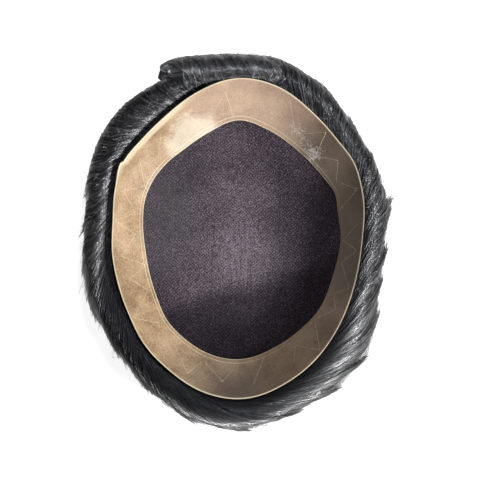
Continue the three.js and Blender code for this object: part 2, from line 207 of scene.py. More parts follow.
def hair_section(azimuth, at):
    """A point of the hair's form in its section, from 0 where it leaves the surface to 1 in the gutter."""
    azimuth, at = np.broadcast_arrays(np.asarray(azimuth, float), np.asarray(at, float))
    rim = rim_radius(azimuth)
    fullest = rim + HAIR_REACH * outline(azimuth, HAIR) - LOCK_RISE / 2
    crest_r = rim + (fullest - rim) * outline(azimuth, CREST)
    crest_z = FACE_HEIGHT + rim_depth(azimuth) - CREST_DROP - LOCK_RISE / 2
    gutter_r, gutter_z = base_section(azimuth, rim - GUTTER_DROP, SKIN_OFFSET)
    under = np.clip(at / FULLEST_AT, 0, 1) * np.pi / 2
    over = np.clip((at - FULLEST_AT) / (CREST_AT - FULLEST_AT), 0, 1) * np.pi / 2
    inner = np.clip((at - CREST_AT) / (1 - CREST_AT), 0, 1) * np.pi / 2
    r = np.where(
        at <= FULLEST_AT,
        REST_RADIUS + (fullest - REST_RADIUS) * np.sin(under),
        np.where(
            at <= CREST_AT,
            crest_r + (fullest - crest_r) * np.cos(over),
            crest_r - (crest_r - gutter_r) * np.sin(inner),
        ),
    )
    z = np.where(
        at <= FULLEST_AT,
        FULLEST_HEIGHT - (FULLEST_HEIGHT + PRESSED_BY) * np.cos(under),
        np.where(
            at <= CREST_AT,
            FULLEST_HEIGHT + (crest_z - FULLEST_HEIGHT) * np.sin(over),
            gutter_z + (crest_z - gutter_z) * np.cos(inner),
        ),
    )
    return r, z


def in_space(azimuth, section):
    r, z = section
    angle = np.radians(azimuth)
    return np.stack([r * np.cos(angle), r * np.sin(angle), z + 0 * angle], axis=-1)


def unit(vectors):
    return vectors / np.maximum(np.linalg.norm(vectors, axis=-1, keepdims=True), 1e-9)


AHEAD = 0.5  # degrees; a normal is taken from a point this far round the form
FURTHER = 0.01  # and one this far along its section


def hair_surface(azimuth, at, off=0):
    """Points of the hair's form, moved straight out of it by off."""
    point = in_space(azimuth, hair_section(azimuth, at))
    around = in_space(azimuth + AHEAD, hair_section(azimuth + AHEAD, at)) - point
    up = in_space(azimuth, hair_section(azimuth, at + FURTHER)) - point
    normal = unit(np.cross(around, up))
    return point + normal * np.asarray(off)[..., None]


# ---- Making meshes ----

def keep(name, mesh, material, nodes=()):
    """Puts a finished mesh in the scene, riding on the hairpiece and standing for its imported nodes."""
    piece = bpy.data.objects.new(name, mesh)
    bpy.context.scene.collection.objects.link(piece)
    mesh.materials.append(material)
    mesh.polygons.foreach_set("use_smooth", np.ones(len(mesh.polygons), bool))
    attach(piece, "root")
    if nodes:
        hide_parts(*nodes)
    return piece


def sheet(name, around, along, place, shut=False):
    """A grid laid by place(u, v), with u once round the piece and v along its section.

    Its seam is closed, and so is its section at a pole. shut is not used.
    """
    bm = bmesh.new()
    layer = bm.loops.layers.uv.new("across")
    bmesh.ops.create_grid(bm, x_segments=around, y_segments=along, size=0.5)
    bm.verts.ensure_lookup_table()
    flat = np.array([vertex.co[:2] for vertex in bm.verts]) + 0.5
    placed = place(flat[:, 0], flat[:, 1]) * MM
    for face in bm.faces:
        for loop in face.loops:
            loop[layer].uv = flat[loop.vert.index]
    for vertex, point in zip(bm.verts, placed):
        vertex.co = point
    bmesh.ops.remove_doubles(bm, verts=bm.verts, dist=1e-6)
    bmesh.ops.recalc_face_normals(bm, faces=bm.faces)
    mesh = bpy.data.meshes.new(name)
    bm.to_mesh(mesh)
    bm.free()
    return mesh


OUTWARD_RISE = 30  # mm; how steeply the side of a strand that is kept upwards leans out


def tubes(name, paths, radii, tone, shine=0):
    """Many three-sided strands as one mesh. paths is strand by point, and radii, tone and shine alike."""
    count, points = paths.shape[:2]
    along = unit(np.gradient(paths, axis=1))
    out = unit(paths * [1, 1, 0] + [0, 0, OUTWARD_RISE])
    side = unit(np.cross(along, out))
    up = np.cross(side, along)
    turns = np.radians([90, 210, 330])
    ring = side[:, :, None] * np.cos(turns)[:, None] + up[:, :, None] * np.sin(turns)[:, None]
    verts = paths[:, :, None] + ring * radii[:, :, None, None]
    index = np.arange(count * points * 3).reshape(count, points, 3)
    here = index[:, :-1]
    there = index[:, 1:]
    sides = np.stack([here, np.roll(here, -1, 2), np.roll(there, -1, 2), there], axis=-1).reshape(-1, 4)
    root = index[:, 0, ::-1]
    tip = index[:, -1]
    mesh = bpy.data.meshes.new(name)
    mesh.vertices.add(verts.size // 3)
    mesh.vertices.foreach_set("co", (verts * MM).ravel())
    corners = np.concatenate([sides.ravel(), root.ravel(), tip.ravel()])
    starts = np.concatenate([np.arange(len(sides)) * 4, len(sides) * 4 + np.arange(2 * count) * 3])
    mesh.loops.add(len(corners))
    mesh.loops.foreach_set("vertex_index", corners)
    mesh.polygons.add(len(starts))
    mesh.polygons.foreach_set("loop_start", starts)
    mesh.update(calc_edges=True)
    mesh.validate()
    for attribute, values in (("tone", tone), ("shine", shine)):
        layer = mesh.attributes.new(attribute, "FLOAT", "POINT")
        layer.data.foreach_set("value", np.repeat(np.broadcast_to(values, (count, points)), 3))
    return mesh


# ---- Finishes ----

class Value:
    """A number in a material, which takes Python's operators."""

    def __init__(self, finish, socket):
        self.finish = finish
        self.socket = socket

    def math(self, operation, *others):
        values = [other.socket if isinstance(other, Value) else other for other in others]
        return self.finish.node("ShaderNodeMath", {"operation": operation}, self.socket, *values)

    def held(self, top):
        """The number kept between 0 and top."""
        return self.math("MAXIMUM", 0).math("MINIMUM", top)

    def __add__(self, other):
        return self.math("ADD", other)

    def __sub__(self, other):
        return self.math("SUBTRACT", other)

    def __mul__(self, other):
        return self.math("MULTIPLY", other)

    def __truediv__(self, other):
        return self.math("DIVIDE", other)

    def __rsub__(self, other):
        return self.math("MULTIPLY", -1) + other

    __radd__ = __add__
    __rmul__ = __mul__


class Finish:
    """A material's nodes, made one by one."""

    def __init__(self, name, **shader):
        self.material = bpy.data.materials.new(name)
        self.material.use_nodes = True
        self.tree = self.material.node_tree
        self.shader = self.tree.nodes["Principled BSDF"]
        for socket, value in shader.items():
            self.shader.inputs[socket.replace("_", " ")].default_value = value

    def node(self, kind, settings, *values, output=0, **named):
        made = self.tree.nodes.new(kind)
        for setting, value in settings.items():
            if setting == "stops":
                ramp = made.color_ramp
                while len(ramp.elements) < len(value):
                    ramp.elements.new(0.5)
                for element, (position, colour) in zip(ramp.elements, value):
                    element.position = position
                    element.color = (*colour, 1)
            else:
                setattr(made, setting, value)
        for socket, value in [*zip(made.inputs, values), *((made.inputs[k], v) for k, v in named.items())]:
            if isinstance(value, Value):
                value = value.socket
            if isinstance(value, bpy.types.NodeSocket):
                self.tree.links.new(value, socket)
            else:
                socket.default_value = value
        return Value(self, made.outputs[output])

    def feed(self, socket, value):
        self.tree.links.new(value.socket, self.shader.inputs[socket])


HAIR_COLOURS = [(0.0, (0.002, 0.002, 0.003)), (0.45, (0.009, 0.009, 0.011)), (1.0, (0.12, 0.118, 0.124))]


def hair_finish(name, streaked):
    """Glossy off-black hair. streaked gives a bed of hair the fine lines that its strands would."""
    if streaked:
        finish = Finish(name, Roughness=0.5, Specular_IOR_Level=0.15)
        across = finish.node("ShaderNodeUVMap", {"uv_map": "across"})
        run = finish.node("ShaderNodeMapping", {}, across, Scale=(1400, 6, 1))
        lines = finish.node("ShaderNodeTexNoise", {"noise_dimensions": "2D"}, run, Scale=1.0, Detail=3)
        finish.feed("Normal", finish.node("ShaderNodeBump", {}, Strength=0.7, Distance=0.0006, Height=lines))
        tone = lines * 0.6
    else:
        finish = Finish(name, IOR=1.45, Specular_IOR_Level=0.2, Coat_IOR=3.1, Coat_Roughness=0.28)
        tone = finish.node("ShaderNodeAttribute", {"attribute_name": "tone"}, output=2)
        finish.feed("Coat Weight", finish.node("ShaderNodeAttribute", {"attribute_name": "shine"}, output=2))
        finish.feed("Roughness", tone * 0.15 + 0.37)
    finish.feed("Base Color", finish.node("ShaderNodeValToRGB", {"stops": HAIR_COLOURS}, tone))
    return finish.material


def mixed(finish, base, over, mask):
    """One colour laid over another where the mask is 1."""
    made = finish.tree.nodes.new("ShaderNodeMix")
    made.data_type = "RGBA"
    for socket, value in ((made.inputs["Factor"], mask), (made.inputs[6], base), (made.inputs[7], over)):
        if isinstance(value, Value):
            finish.tree.links.new(value.socket, socket)
        else:
            socket.default_value = (*value, 1)
    return Value(finish, made.outputs[2])


def within(finish, where, x, y, z, radius):
    """1 at a point and 0 past a radius from it, both in mm."""
    centre = (x * MM, y * MM, z * MM)
    apart = finish.node("ShaderNodeVectorMath", {"operation": "DISTANCE"}, where, centre, output=1)
    return (1 - apart / (radius * MM)).math("MAXIMUM", 0)


SKIN_COLOURS = [(0.34, (0.147, 0.092, 0.051)), (0.5, (0.261, 0.176, 0.103)), (0.66, (0.353, 0.254, 0.158))]
SPECK_COLOUR = (0.140, 0.081, 0.048)
PAINTED_SHADE_COLOUR = (0.062, 0.053, 0.050)
POWDER_COLOUR = (0.529, 0.500, 0.456)
BLUSH_COLOUR = (0.42, 0.31, 0.27)
PAINTED_GLOSS_COLOUR = (0.529, 0.493, 0.397)
LINE_COLOUR = (0.544, 0.485, 0.331)
BORDER_COLOUR = (0.544, 0.493, 0.346)

# Patches of the skin: the middle and radius of each, in mm
POWDER = [(43, 78, 47, 14), (54, 61, 46, 16)]  # the powdery marks
# painted highlight: a whitish gloss spot beside the net, where the lamp's reflection falls
PAINTED_GLOSS_SPOT = (-33, 72, 44, 30)  # whitish, beside the net
BLUSH = (8, 104, 58, 62)  # a little pinker, at the front
LAPPED = (-62, 74, 58, 44)  # where the pale line along the rim is wide
# painted shade: the pale lines are darker at the lower right, where the skin lies in shade
LINES_PAINTED_SHADE = (76, -34, 50, 130)  # where the pale lines along both edges are faint
PAINTED_SHADE_PATCHES = [
    # painted shade where the skin lies in shade, partly the dark hair behind showing through; and how strongly
    (72, 44, 46, 62, 1.45),
    (84, -6, 50, 48, 1.45),
    (0, -108, 62, 62, 0.85),
    (66, -66, 50, 44, 0.85),
]
EDGE_LINES = [
    # the pale lines: where they run across the skin's sheet, and their half width there
    (0.0, 0.012),
    (0.055, 0.006),
    (0.585, 0.045),
    (1.0, 0.03),
]
BORDER = (0.57, 0.1)  # and the same of the wide pale line at LAPPED


def skin_finish():
    finish = Finish("skin", Roughness=0.36, Specular_IOR_Level=0.5)
    where = finish.node("ShaderNodeTexCoord", {}, output=3)
    blotch = finish.node("ShaderNodeTexNoise", {}, where, Scale=45, Detail=4, Roughness=0.6)
    grain = finish.node("ShaderNodeTexNoise", {}, where, Scale=700, Detail=3, Roughness=0.75)
    mottled = blotch * 0.75 + grain * 0.6 - 0.175
    colour = finish.node("ShaderNodeValToRGB", {"stops": SKIN_COLOURS}, mottled)
    flakes = finish.node("ShaderNodeTexNoise", {}, where, Scale=560, Detail=4, Roughness=0.8)
    powder = sum(within(finish, where, *patch) for patch in POWDER)
    dusted = ((powder * 0.3 + flakes - 0.69) * 8 * powder.math("SQRT")).held(0.45)
    flecks = finish.node("ShaderNodeTexNoise", {}, where, Scale=1300, Detail=1)
    colour = mixed(finish, colour, SPECK_COLOUR, ((flecks - 0.58) * 5).held(0.45))
    # painted shade on the skin where it lies in shade, partly the dark hair behind showing through it
    painted_shade = sum(within(finish, where, *patch) * dark for *patch, dark in PAINTED_SHADE_PATCHES)
    colour = mixed(finish, colour, PAINTED_SHADE_COLOUR, painted_shade.math("MINIMUM", 0.77))
    colour = mixed(finish, colour, POWDER_COLOUR, dusted)
    blush = within(finish, where, *BLUSH)
    colour = mixed(finish, colour, BLUSH_COLOUR, (blush * 0.8).math("MINIMUM", 0.3))
    # painted highlight: the whitish gloss spot beside the net
    gloss_spot = within(finish, where, *PAINTED_GLOSS_SPOT)
    painted_gloss = ((gloss_spot * 1.3 + blotch * 1.1 + grain * 0.5 - 1.15) * 1.3).held(0.42)
    colour = mixed(finish, colour, PAINTED_GLOSS_COLOUR, painted_gloss)
    sheet_uv = finish.node("ShaderNodeUVMap", {"uv_map": "across"})
    across = finish.node("ShaderNodeSeparateXYZ", {}, sheet_uv, output=1)
    # painted shade on the pale lines at the lower right
    lines_shade = within(finish, where, *LINES_PAINTED_SHADE).math("MINIMUM", 0.7)

    def line(place, half_width):
        return (1 - (across - place).math("ABSOLUTE") / half_width).math("MAXIMUM", 0)

    for row in EDGE_LINES:
        colour = mixed(finish, colour, LINE_COLOUR, line(*row).math("MINIMUM", 0.6) * (1 - lines_shade * 1.3))
    lapped = within(finish, where, *LAPPED) * 2.2
    colour = mixed(finish, colour, BORDER_COLOUR, (lapped * (line(*BORDER) * 1.2)).math("MINIMUM", 0.55))
    finish.feed("Base Color", colour)
    finish.feed("Normal", finish.node("ShaderNodeBump", {}, Strength=0.5, Distance=0.0004, Height=grain))
    return finish.material


def thread_finish():
    return Finish("thread", Base_Color=(0.53, 0.463, 0.338, 1), Roughness=0.4).material


NET_PITCH = 2.4  # mm; the rows of its meshes lie closer, by the square root of 2
NET_LEAN = 5  # degrees
NET_COLOURS = [(0.2, (0.004, 0.0035, 0.004)), (0.5, (0.031, 0.023, 0.030)), (0.95, (0.18, 0.15, 0.172))]
NET_ASIDE_COLOUR = (0.030, 0.035, 0.028)

# Patches of the net: the middle and radius of each, in mm
# painted light: the net is lighter in its middle, where light falls on it
NET_PAINTED_LIGHT = (-3, -8, 19, 60)  # lighter
NET_ASIDE = (-68, 6, 38, 50)  # a little lighter and greener, at the left
NET_WRINKLED = (-14, -20, 19, 46)

# Painted shadow: the net is darker towards the lower right, where the rim's shadow falls: along what, from
# where and over how many mm
NET_SHADOW_TOWARDS = (0.27, -0.96, 0)
NET_SHADOW_FROM = 27
NET_SHADOW_OVER = 14


def net_finish():
    finish = Finish("net", Roughness=0.6, Specular_IOR_Level=0.06)
    where = finish.node("ShaderNodeTexCoord", {}, output=3)
    turned = finish.node("ShaderNodeMapping", {}, where, Rotation=(0, 0, math.radians(NET_LEAN)))
    x, y = (finish.node("ShaderNodeSeparateXYZ", {}, turned, output=axis) for axis in (0, 1))
    pitch = 2 * math.pi / (NET_PITCH * MM)
    loose = finish.node("ShaderNodeTexNoise", {}, where, Scale=300, Detail=2) * 2.4
    weave = (x * pitch + loose).math("SINE") * (y * pitch + loose).math("SINE") * 0.5 + 0.5
    fibre = finish.node("ShaderNodeTexNoise", {}, where, Scale=1100, Detail=2, Roughness=0.8)
    shade = finish.node("ShaderNodeTexNoise", {}, where, Scale=22, Detail=3)
    # painted light in the net's middle
    painted_light = within(finish, where, *NET_PAINTED_LIGHT)
    aside = within(finish, where, *NET_ASIDE)
    # painted shadow of the rim over the net's lower right
    along = finish.node("ShaderNodeVectorMath", {"operation": "DOT_PRODUCT"}, where, NET_SHADOW_TOWARDS, output=1)
    painted_shadow = ((along / MM - NET_SHADOW_FROM) / NET_SHADOW_OVER).held(1)
    lengthwise = finish.node("ShaderNodeMapping", {}, where, Scale=(170, 30, 60))
    folds = finish.node("ShaderNodeTexNoise", {}, lengthwise, Scale=1.0, Detail=2)
    wrinkle = folds * within(finish, where, *NET_WRINKLED)
    tone = weave * 0.16 + fibre * 1.35 + shade * 0.4 + painted_light * 0.26 + aside * 0.1 - painted_shadow * 0.15 - 0.54
    colour = finish.node("ShaderNodeValToRGB", {"stops": NET_COLOURS}, tone)
    colour = mixed(finish, colour, NET_ASIDE_COLOUR, (aside * 0.6).math("MINIMUM", 0.2))
    finish.feed("Base Color", colour)
    height = weave * 0.14 + fibre * 0.4 + wrinkle * 8
    finish.feed("Normal", finish.node("ShaderNodeBump", {}, Strength=0.8, Distance=0.0006, Height=height))
    return finish.material


# ---- The net and the skin band ----

def lay_net(u, v):
    azimuth = u * 360
    edge = net_edge(azimuth) + NET_LAP
    out = 1 - np.abs(2 * v - 1)
    offset = np.where(v <= 0.5, SKIN_OFFSET, SKIN_OFFSET + NET_WALL)
    return in_space(azimuth, base_section(azimuth, edge * out, offset))


# The skin's two ends lap at the rim, where its edge steps out: at which azimuth, by how many mm and over how
# many degrees, and how many degrees on it is back, over how many
RIM_STEP_AT = 146.4
RIM_STEP = 1.5
RIM_STEP_OVER = 0.8
RIM_STEP_END = 10
RIM_STEP_BACK = 9

# Where the skin's sheet goes from its face round the rim, back under and round the net's edge
SKIN_PLACES = [0, 0.55, 0.65, 0.9, 1]


def lay_skin(u, v):
    azimuth = u * 360
    inner = net_edge(azimuth)
    past = azimuth - RIM_STEP_AT
    stepped = np.clip(past / RIM_STEP_OVER, 0, 1) * np.clip((RIM_STEP_END - past) / RIM_STEP_BACK, 0, 1)
    width = rim_radius(azimuth) - inner + RIM_STEP * stepped
    round_end = SKIN_WALL / 2
    share = np.interp(v, SKIN_PLACES, [0, 1, 1, 0, 0])
    turn = np.radians(np.interp(v, SKIN_PLACES, [90, 90, -90, -90, -270]))
    bulge = round_end * np.cos(turn)
    offset = round_end - round_end * np.sin(turn)
    r = inner + round_end + (width - 2 * round_end) * share
    section_r, section_z = base_section(azimuth, r, offset)
    ahead_r, ahead_z = base_section(azimuth, r + 0.1, offset)
    step = np.hypot(ahead_r - section_r, ahead_z - section_z)
    bulged_r = section_r + bulge * (ahead_r - section_r) / step
    bulged_z = section_z + bulge * (ahead_z - section_z) / step
    return in_space(azimuth, (bulged_r, bulged_z))


THREAD_STEP = 7.5  # degrees between the ends of the band's threads
THREAD_RADIUS = 0.17
THREADS_SHOWN = 0.78  # the share of them that shows


def skin_threads(points=10):
    """Fine light threads that lie on the band, straight from one edge towards the other and back."""
    count = int(360 / THREAD_STEP)
    turn = (np.arange(count) + rng.uniform(-0.35, 0.35, count)) * THREAD_STEP
    near = rng.uniform(0.05, 0.35, count)
    far = rng.uniform(0.6, 0.97, count)
    across = np.where(np.arange(count) % 2 == 0, near, far)

    def on_band(azimuth, share):
        edge = net_edge(azimuth)
        return in_space(azimuth, (edge + (rim_radius(azimuth) - edge) * share, 0))

    ends = on_band(turn, across)
    ahead = on_band(np.roll(turn, -1), np.roll(across, -1))
    drawn = rng.uniform(0, 1, count) < THREADS_SHOWN
    grown = np.linspace(0, 1, points)[None, :, None]
    flat = (ends[:, None] * (1 - grown) + ahead[:, None] * grown)[drawn]
    azimuth = np.degrees(np.arctan2(flat[..., 1], flat[..., 0]))
    r = np.hypot(flat[..., 0], flat[..., 1])
    paths = in_space(azimuth, base_section(azimuth, r, 0.45 * THREAD_RADIUS))
    return tubes("skin_threads", paths, THREAD_RADIUS + 0 * r, 1)


net = keep("net", sheet("net", 180, 60, lay_net), net_finish(), ["net_cap"])
skin = keep("skin", sheet("skin", 360, 60, lay_skin), skin_finish(), ["skin_band"])
keep("skin_threads", skin_threads(), thread_finish())


# ---- The hair ----

ROOT_AT = 0.98  # the rim hair's strands run between these places of the hair's section
TIP_AT = 0.45
CROWN_AT = 0.42  # the crown hair's roots lie between the middle and here
CROWN_SWEEP = -46  # degrees that its strands turn over that; so their lines meet those of the rim hair
BED_SINK = 0.7  # how far under the strands' form the rim hair's bed lies
BED_RISE = 0.4  # and the share of the locks' rise that it takes
RIM_BED_TURN = 0.7  # where its sheet turns back along the base
RIM_BED_SHUT = 0.97  # and where it starts to close on the part
CROWN_BED_TURN = 0.6  # where the crown hair's sheet turns back along the net
LOCK_STEP = 0.12  # the share of a lock's width over which it steps up from the next one
HOLLOW_AT = 0.12  # where along the strands the hair sinks beside the rim, and how far that reaches
HOLLOW_REACH = 0.13
CREST_FROM = 0.34  # from where along the strands the raised crest fades, and over how much of them
CREST_FADE = 0.42
RIM_TUFT = 1.9  # degrees
CROWN_TUFT = 2.6
LOCK_PULL = 4.5  # degrees that strands draw together towards their lock's tip
SHINE_OVER = 0.22  # how far along a strand its shine comes up, once it is past DULL
# painted light: the roots' lighter tone stands in for light in the shade beside the rim, more under a high
# crest
FILL_LIGHT_TO = 0.21  # how far along strands their roots are lighter, and by how much, with more under a high crest
FILL_LIGHT_TONE = 0.35
FILL_LIGHT_UNDER_CREST = 0.05
STRAND_RADIUS = 0.2
WAVE_TUFT = 0.8  # degrees
WAVE_HEIGHT = 0.26
WAVE_LENGTH = 21
TIP_TAPER = 4  # how many times a strand's taper goes into its length


def lock_of(tip):
    """The lock of strands that end at these azimuths, and how far they lie before its tip.

    That is a share of the lock's width, from 0 at its tip to 1 at the tip of the lock before it.
    """
    tips = np.array([row[0] for row in RIM_LOCKS], float)
    widths = np.mod(tips - np.roll(tips, 1), 360)
    before = np.mod(tips - tip[..., None], 360)
    lock = np.argmin(before, axis=-1)
    return lock, np.take_along_axis(before, lock[..., None], -1)[..., 0] / widths[lock]


def rim_out(tip, at):
    """How far out a place in the section lies in plan, from the roots to the fullest."""
    root_r, _ = hair_section(tip, ROOT_AT)
    fullest_r, _ = hair_section(tip, FULLEST_AT)
    r, _ = hair_section(tip, np.maximum(at, FULLEST_AT))
    return np.clip((r - root_r) / (fullest_r - root_r), 1e-6, 1)


def rim_flow(tip, share):
    """Azimuth and place in the section, a share of the way along strands that end at these azimuths.

    A strand turns as it goes outwards, so that it lies straight as seen from above.
    """
    at = ROOT_AT + (TIP_AT - ROOT_AT) * share
    turned = 1 - np.power(rim_out(tip, at), outline(tip, LATE)) + 0.1 * (1 - share)
    return tip - outline(tip, SWEEP) * turned, at


def rim_lift(tip, share, depth=1):
    """How far the hair stands out of its form: most at a lock's tip, and least where it sinks inside its crest.

    depth is from 0 under the locks to 1 on them.
    """
    _, before = lock_of(tip)
    step = np.minimum(1, (1 - before) / LOCK_STEP) * before
    ridge = 1 - (0.15 + 1.15 * step) * outline(tip, PARTED) * share**1.5
    lock = LOCK_RISE * ridge * np.minimum(1, 0.3 + 1.8 * share) * (1 - 0.3 * share**2)
    hollow = np.exp(-(((share - HOLLOW_AT) / HOLLOW_REACH) ** 2))
    out = rim_out(tip, ROOT_AT + (TIP_AT - ROOT_AT) * share)
    rise = 0.5 - 0.5 * np.cos(np.pi * np.minimum(out / 0.95, 1))
    fade = np.cos(np.pi / 2 * np.clip((share - CREST_FROM) / CREST_FADE, 0, 1)) ** 2
    return depth * lock - outline(tip, SUNK) * hollow + outline(tip, RAISED) * rise * fade


def lay_rim_bed(u, v):
    """Over the hair's form from the part to the gutter, and back along the base."""
    tip = u * 360
    share = 1 - np.clip(v / RIM_BED_TURN, 0, 1)
    azimuth, at = rim_flow(tip, share)
    lift = rim_lift(tip, share, BED_RISE) - BED_SINK
    part_at = PART_AT + 0.01
    outside = hair_surface(azimuth, np.maximum(at, part_at), lift)
    back = np.clip((v - RIM_BED_TURN) / (1 - RIM_BED_TURN), 0, 1)
    outer = rim_radius(azimuth) - GUTTER_DROP
    inner = net_edge(azimuth) + NET_LAP + PART_GAP
    inside = in_space(azimuth, base_section(azimuth, outer + (inner - outer) * back, SKIN_OFFSET + 0.3))
    ends = np.ones_like(tip)
    part = hair_surface(tip, ends * part_at, rim_lift(tip, ends, BED_RISE) - BED_SINK)
    shut = np.clip((v - RIM_BED_SHUT) / (1 - RIM_BED_SHUT), 0, 1)[:, None]
    return np.where((v > RIM_BED_TURN)[:, None], inside, outside) * (1 - shut) + part * shut


def lay_crown_bed(u, v):
    """From the middle of the flat out to the part, and back along the net."""
    at = PART_AT * np.clip(v / CROWN_BED_TURN, 0, 1)
    azimuth = u * 360 + CROWN_SWEEP * np.clip(at / CROWN_AT, 0, 1)
    outside = hair_surface(azimuth, at, -0.3 + 0 * at)
    outside[:, 2] = np.maximum(outside[:, 2], 0.4)
    outside[:, :2] *= np.clip(v / 0.05, 0, 1)[:, None]
    back = 1 - np.clip((v - CROWN_BED_TURN) / (1 - CROWN_BED_TURN), 0, 1)
    edge = net_edge(azimuth) + NET_LAP
    inside = in_space(azimuth, base_section(azimuth, edge * back, NET_OFFSET + 0.2))
    return np.where((v > CROWN_BED_TURN)[:, None], inside, outside)


def tapered(share):
    """A strand's radius along it, which thins to its tip and starts fine."""
    return STRAND_RADIUS * np.clip((1.02 - share) * TIP_TAPER, 0.12, 1) * np.clip(0.25 + share * 9, 0, 1)


def in_tufts(azimuth, width, closeness, share):
    """Azimuths drawn towards the middle of their tuft, the more the nearer the strands' tips."""
    middle = (np.floor(azimuth / width) + 0.5) * width
    return azimuth + (middle - azimuth) * closeness * share


def scattered(numbers, pitch, spread):
    """A share from 0 to 1 for each whole number, without order but the same each time."""
    return np.mod(np.sin(numbers * pitch) * spread, 1)


def waved(azimuth, share, length):
    """How far strands lift and drop along their length, alike within a tuft, so that their shine breaks up."""
    phase = scattered(np.floor(azimuth / WAVE_TUFT), 12.9898, 43758.5453) * 2 * np.pi
    return WAVE_HEIGHT * np.sin(2 * np.pi * share * length / WAVE_LENGTH + phase)


LEAST_GLOSS = 0.22


def glossed(azimuth, width):
    """How strongly strands shine: alike within a tuft, and stronger in some tufts than in others."""
    return LEAST_GLOSS + (1 - LEAST_GLOSS) * scattered(np.floor(azimuth / width), 78.233, 12543.123) ** 1.7


def rim_strands(name, count, points=9):
    """Strands from the gutter over the crest to their lock's tip. Half start further along than their root."""
    tip = rng.uniform(0, 360, count)
    grown = np.linspace(0, 1, points)[None, :]
    first = rng.uniform(0, 0.5, count)[:, None] * rng.integers(0, 2, count)[:, None]
    last = rng.uniform(0.7, 1.04, count)[:, None]
    share = first + (last - first) * grown
    lock, before = lock_of(tip)
    parted = outline(tip, PARTED)[:, None]
    drawn = LOCK_PULL * before[:, None] * parted * share**3
    stray = rng.normal(0, 0.9, count)[:, None] * grown**2
    azimuth, at = rim_flow(in_tufts(tip[:, None], RIM_TUFT, 0.6, share) + drawn + stray, share)
    flare = np.array([row[1] for row in RIM_LOCKS])[lock][:, None] * TIP_FLARE
    depth = rng.uniform(0.3, 1.0, count)[:, None]
    lift = rim_lift(np.repeat(tip[:, None], points, 1), share, depth**0.5)
    tipped = (1 - before[:, None]) * depth * share**4
    off = lift + 0.3 + flare * tipped + waved(tip[:, None], share, 70)
    # painted shade: before DULL a strand's colour is darkened as well as its shine; painted light then lightens
    # its very roots
    shown = np.clip((share - outline(tip, DULL)[:, None]) / SHINE_OVER, 0.03, 1)
    fill_light_tone = FILL_LIGHT_TONE + FILL_LIGHT_UNDER_CREST * outline(tip, RAISED)[:, None]
    painted_fill_light = fill_light_tone * np.exp(-((share / FILL_LIGHT_TO) ** 4))
    tone = rng.beta(1.5, 2.6, count)[:, None] * np.clip(0.3 + shown, 0, 1) + painted_fill_light
    shine = shown * glossed(tip, 0.9)[:, None]
    return tubes(name, hair_surface(azimuth, at, off), tapered(grown) + 0 * share, tone, shine)


def crown_strands(count, points=7):
    """Strands pressed under the base, in a whorl. They end at mixed heights, so that no edge shows there."""
    root = rng.uniform(0, 360, count)[:, None]
    first = CROWN_AT * np.sqrt(rng.uniform(0, 1, count))[:, None]
    grown = np.linspace(0, 1, points)[None, :]
    end = np.minimum(first + rng.uniform(0.12, 0.22, count)[:, None], rng.uniform(0.45, 0.55, count)[:, None])
    at = first + (end - first) * grown
    stray = rng.normal(0, 1, count)[:, None] * grown
    azimuth = in_tufts(root, CROWN_TUFT, 0.45, grown) + CROWN_SWEEP * at / CROWN_AT + stray
    off = rng.uniform(0, 1.6, count)[:, None] + 0.5 * grown**3
    paths = hair_surface(azimuth, at, off)
    paths[..., 2] = np.maximum(paths[..., 2], 0.3)
    return tubes("crown_strands", paths, tapered(grown) + 0 * at, rng.beta(1.6, 3, count)[:, None], 0.16)


CURL_FIRST = -0.03  # how far along the curl the strands that wrap over it start, from here
CURL_WRAP = 0.62  # to here
CURL_LATE = 0.45  # and past here they lean more and stand off, over its end
CURL_TURN = 0.905  # the middle of its rounded end
CURL_WAVE = 1.1  # how much more its strands wave than the rim hair's
CURL_FADE = 0.16  # how far along the curl its shine comes up


def curl_line(share):
    """The curl's middle and radius, a share of the way from its root to its end."""
    rows = np.array(CURL_SECTIONS)
    height = FACE_HEIGHT + rim_depth(rows[:, 0]) - CURL_DROP * rows[:, 2]
    middles = in_space(rows[:, 0], (rim_radius(rows[:, 0]) + HAIR_REACH * rows[:, 1], height))
    length = np.concatenate([[0], np.cumsum(np.linalg.norm(np.diff(middles, axis=0), axis=1))])
    run = share * length[-1]
    middle = np.stack([np.interp(run, length, middles[:, k]) for k in range(3)], axis=-1)
    return middle, np.interp(run, length, rows[:, 3]) * CURL_RADIUS


def curl_surface(share, turn, off):
    """Points round the curl: 0 faces outwards, 90 up and 180 to the hollow."""
    middle, radius = curl_line(share)
    along = unit(curl_line(np.minimum(share + 0.03, 1))[0] - curl_line(np.maximum(share - 0.03, 0))[0])
    side = unit(np.cross(along, [0, 0, 1]))
    up = np.cross(side, along)
    angle = np.radians(turn)[..., None]
    return middle + (side * np.cos(angle) + up * np.sin(angle)) * (radius + off)[..., None]


def lay_curl_bed(u, v):
    closing = np.minimum(1, np.minimum(v, 1 - v) * 40)[:, None]
    middle, _ = curl_line(v)
    return middle + (curl_surface(v, u * 360, -0.8 + 0 * v) - middle) * closing


def curl_wraps(count, points=12):
    """Strands that cross over the roll from the hollow's side, leaning towards its end."""
    grown = np.linspace(0, 1, points)[None, :]
    start = in_tufts(rng.uniform(CURL_FIRST, CURL_WRAP, count) * 100, 1.9, 0.6, 1)[:, None] / 100
    near_end = np.clip((start - CURL_LATE) / (CURL_WRAP - CURL_LATE), 0, 1)
    stray = rng.normal(0, 0.01, count)[:, None] * grown
    along = start + stray + (0.28 + 0.12 * near_end) * grown
    shown = np.clip(along, 0, 0.97)
    turn = 215 - (250 + rng.uniform(0, 40, count)[:, None]) * grown
    wave = CURL_WAVE * waved(100 * start, grown, 45)
    off = rng.uniform(-0.3, 1.0, count)[:, None] + 1.0 * near_end * grown + wave
    shine = np.clip((grown - 0.33) / 0.12, 0.05, 1) * np.minimum(1, 1.5 * glossed(100 * start, 1.1))
    shine = shine * np.clip((start - CURL_FIRST) / CURL_FADE, 0.15, 1)
    return curl_surface(shown, turn, off), grown, shine


